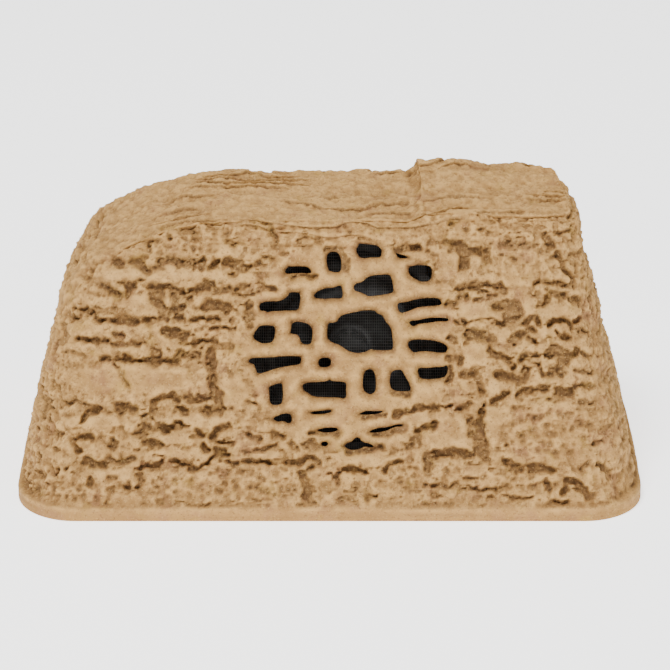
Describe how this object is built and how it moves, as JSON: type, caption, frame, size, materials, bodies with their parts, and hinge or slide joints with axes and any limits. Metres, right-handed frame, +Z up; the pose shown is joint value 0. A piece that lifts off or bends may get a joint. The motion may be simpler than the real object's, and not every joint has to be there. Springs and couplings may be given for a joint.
{
  "type": "outdoor rock loudspeaker",
  "caption": "Wedge-shaped outdoor loudspeaker moulded as a block of layered sandstone, with an irregular pattern of sound holes in its sloping front.",
  "frame": {"origin": "middle of the bounding box at the level of the rim that the rock stands on", "axes": "+X to the right as seen from the front, +Y to the back, +Z up; the sloping front with the sound holes faces -Y"},
  "size_m": [0.392, 0.228, 0.1884],
  "materials": {
    "sandstone": "moulded, sandstone colour",
    "black_abs": "satin",
    "black_mesh": "woven, black",
    "foam": "closed-cell foam",
    "rubber": "satin",
    "black_steel": "black powder coat",
    "cone_plastic": "satin",
    "kapton": "amber film",
    "copper": "bright, lacquered",
    "spider_cloth": "resin-treated cloth",
    "zinc": "zinc plated",
    "ferrite": "matt",
    "phenolic": "laminate",
    "silk": "coated",
    "circuit_board": "green lacquer",
    "film": "gloss",
    "sleeve": "gloss",
    "cement": "matt",
    "green_plastic": "satin",
    "red_wire": "satin",
    "black_wire": "satin",
    "nylon": "satin",
    "wadding": "fibre"
  },
  "bodies": {
    "enclosure": {"rock_shell": "sandstone", "base_plate": "black_abs", "base_gasket": "foam", "grille_screen": "black_mesh", "screen_ring": "black_abs", "driver_gasket": "foam", "driver_basket": "black_steel", "driver_surround": "rubber", "driver_spider": "spider_cloth", "magnet_top_plate": "zinc", "magnet_ring": "ferrite", "magnet_yoke": "zinc", "tweeter_post": "black_abs", "tweeter_housing": "black_abs", "tweeter_magnet": "ferrite", "tweeter_surround": "rubber", "tweeter_faceplate": "black_abs", "terminal_strip": "phenolic", "terminal_tab_pos": "zinc", "terminal_tab_neg": "zinc", "tinsel_lead_pos": "copper", "tinsel_lead_neg": "copper", "crossover_board": "circuit_board", "inductor_bobbin": "black_abs", "inductor_winding": "copper", "tweeter_coil": "copper", "film_capacitor": "film", "bipolar_capacitor": "sleeve", "cement_resistor": "cement", "input_terminals": "green_plastic", "woofer_wire_red": "red_wire", "woofer_wire_black": "black_wire", "tweeter_wire_red": "red_wire", "tweeter_wire_black": "black_wire", "gland_washer": "rubber", "gland_seal": "rubber", "gland_body": "nylon", "gland_dome_nut": "nylon", "gland_locknut": "nylon", "acoustic_wadding": "wadding", "base_screw_1": "zinc", "base_screw_2": "zinc", "base_screw_3": "zinc", "base_screw_4": "zinc", "base_screw_5": "zinc", "base_screw_6": "zinc", "driver_screw_1": "zinc", "board_screw_1": "zinc", "driver_screw_2": "zinc", "board_screw_2": "zinc", "driver_screw_3": "zinc", "board_screw_3": "zinc", "driver_screw_4": "zinc", "board_screw_4": "zinc"},
    "cone_assembly": {"driver_cone": "cone_plastic", "coil_former": "kapton", "coil_winding": "copper"},
    "dome": {"tweeter_dome": "silk"}
  },
  "joints": [
    {"name": "cone_travel", "type": "slide", "parent": "enclosure", "child": "cone_assembly", "axis": [0, -0.9063, 0.4226], "range_m": [-0.0035, 0.0035], "stiffness_N_per_m": 1100, "deforming": ["driver_surround", "driver_spider", "tinsel_lead_pos", "tinsel_lead_neg"]},
    {"name": "dome_travel", "type": "slide", "parent": "enclosure", "child": "dome", "axis": [0, -0.9063, 0.4226], "range_m": [-0.0003, 0.0003], "stiffness_N_per_m": 30, "deforming": ["tweeter_surround"]}
  ]
}
